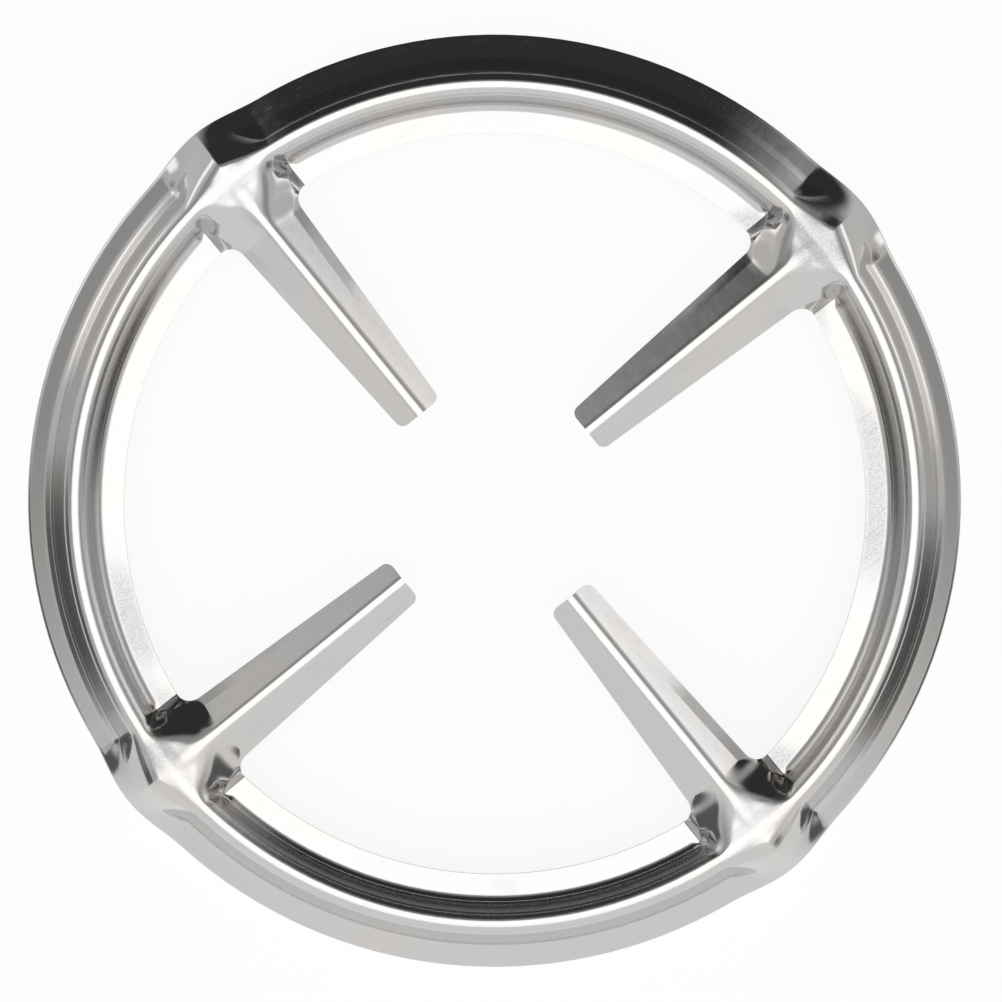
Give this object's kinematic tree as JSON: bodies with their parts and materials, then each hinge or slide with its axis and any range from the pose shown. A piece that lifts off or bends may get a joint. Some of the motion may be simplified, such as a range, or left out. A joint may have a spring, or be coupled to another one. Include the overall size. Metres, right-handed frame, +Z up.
{
  "type": "stove pot stand",
  "caption": "Round pan support for a gas stove, pressed from one polished stainless sheet, with a raised ring on a flared rim and ridged channel arms that point inwards to carry the pot.",
  "frame": {"origin": "on the ring's axis, in the plane that the rim stands on", "axes": "+Z up along the ring's axis; the arms lie along +X, +Y, -X and -Y"},
  "size_m": [0.213, 0.213, 0.02],
  "materials": {
    "polished_steel": "pressed stainless steel, polished almost to a mirror, with faint brushed patches"
  },
  "bodies": {
    "root": {"pan_support": "polished_steel"}
  },
  "joints": []
}
